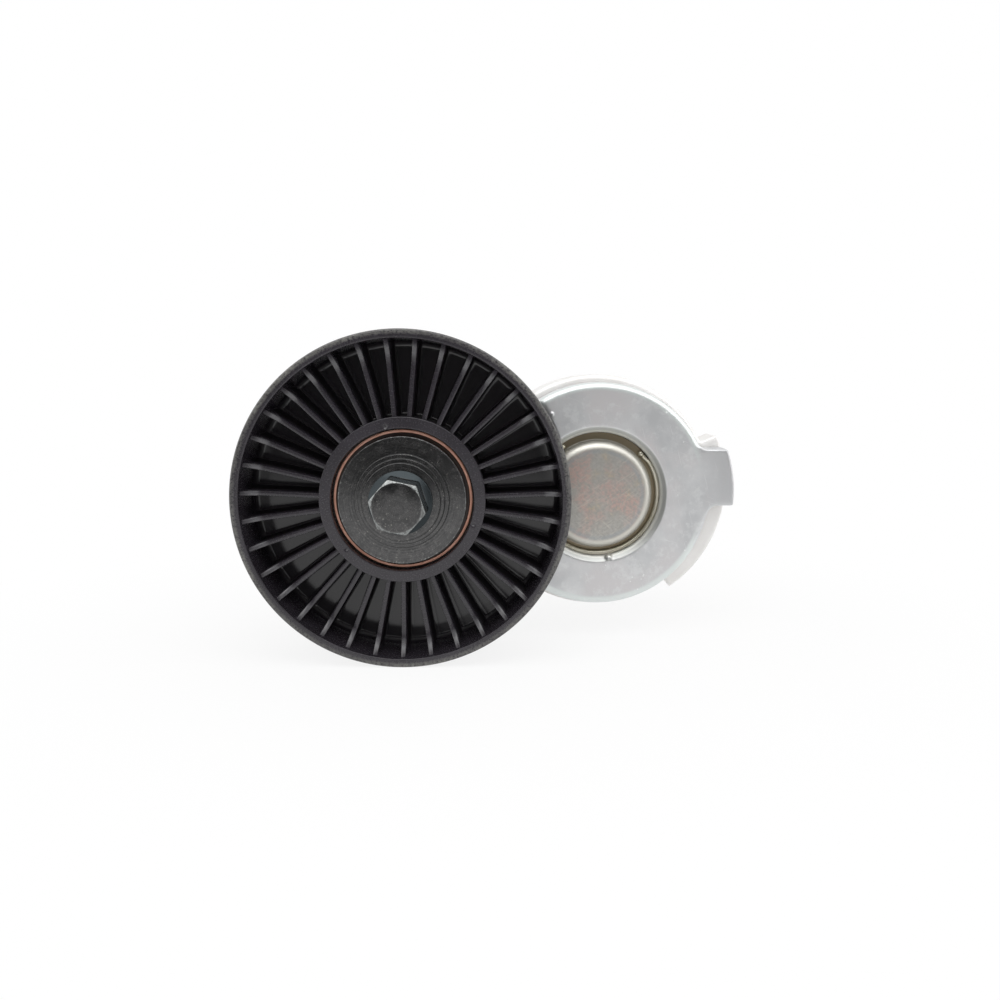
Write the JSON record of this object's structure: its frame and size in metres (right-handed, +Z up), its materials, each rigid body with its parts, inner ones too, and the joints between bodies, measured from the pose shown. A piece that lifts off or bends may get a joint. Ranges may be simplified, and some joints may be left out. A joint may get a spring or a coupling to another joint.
{
  "type": "belt tensioner",
  "caption": "Spring loaded belt tensioner: a ribbed black idler pulley on a ball bearing, carried by a cast swing arm that pivots on a round spring case.",
  "frame": {"origin": "mouth of the mounting thread, on the pivot axis in the plane of the rear mounting face", "axes": "+Y along the pivot axis towards the engine, -Y towards the belt side, +X away from the pulley, +Z up as pictured"},
  "size_m": [0.1407, 0.0784, 0.09],
  "materials": {
    "base_casting": "die cast, pale satin",
    "arm_casting": "die cast, tumbled bright edges",
    "plain_steel": "turned",
    "black_steel": "black oxide, turned",
    "yellow_zinc": "yellow zinc plated",
    "spring_steel": "oil tempered",
    "bearing_steel": "ground",
    "bearing_plastic": "moulded",
    "black_plastic": "moulded",
    "black_nylon": "glass filled, satin",
    "friction_lining": "moulded",
    "brown_seal": "moulded"
  },
  "bodies": {
    "base": {"base_housing": "base_casting", "pivot_shaft": "plain_steel", "locating_pin": "plain_steel", "rear_thrust_washer": "bearing_plastic", "front_thrust_washer": "bearing_plastic", "retaining_plate": "plain_steel", "spring_seat": "black_plastic", "torsion_spring": "spring_steel"},
    "arm": {"tensioner_arm": "arm_casting", "pivot_bushing": "bearing_plastic", "damper_shoe": "black_plastic", "friction_lining": "friction_lining", "pivot_cap": "yellow_zinc", "cap_retaining_ring": "yellow_zinc", "pulley_bolt": "black_steel", "bearing_sleeve": "plain_steel", "front_dust_shield": "black_steel", "rear_dust_shield": "black_steel", "bearing_inner_ring": "bearing_steel"},
    "pulley": {"pulley": "black_nylon", "bearing_outer_ring": "bearing_steel", "bearing_front_seal": "brown_seal", "bearing_rear_seal": "brown_seal"},
    "ball_set": {"bearing_cage": "bearing_plastic", "bearing_balls": "bearing_steel"}
  },
  "joints": [
    {"name": "arm_swing", "type": "hinge", "parent": "base", "child": "arm", "pos_m": [0, 0, 0], "axis": [0, 1, 0], "range_deg": [0, 50], "stiffness_Nm_per_rad": 18, "springref_deg": -51.57, "deforming": ["torsion_spring"]},
    {"name": "pulley_spin", "type": "hinge", "parent": "arm", "child": "pulley", "pos_m": [-0.05547, -0.0477, 0.00174], "axis": [0, 1, 0], "continuous": true},
    {"name": "ball_set_spin", "type": "hinge", "parent": "arm", "child": "ball_set", "pos_m": [-0.05547, -0.0477, 0.00174], "axis": [0, 1, 0], "continuous": true}
  ],
  "couplings": [
    {"joint": "ball_set_spin", "follows": "pulley_spin", "ratio": 0.6158}
  ]
}
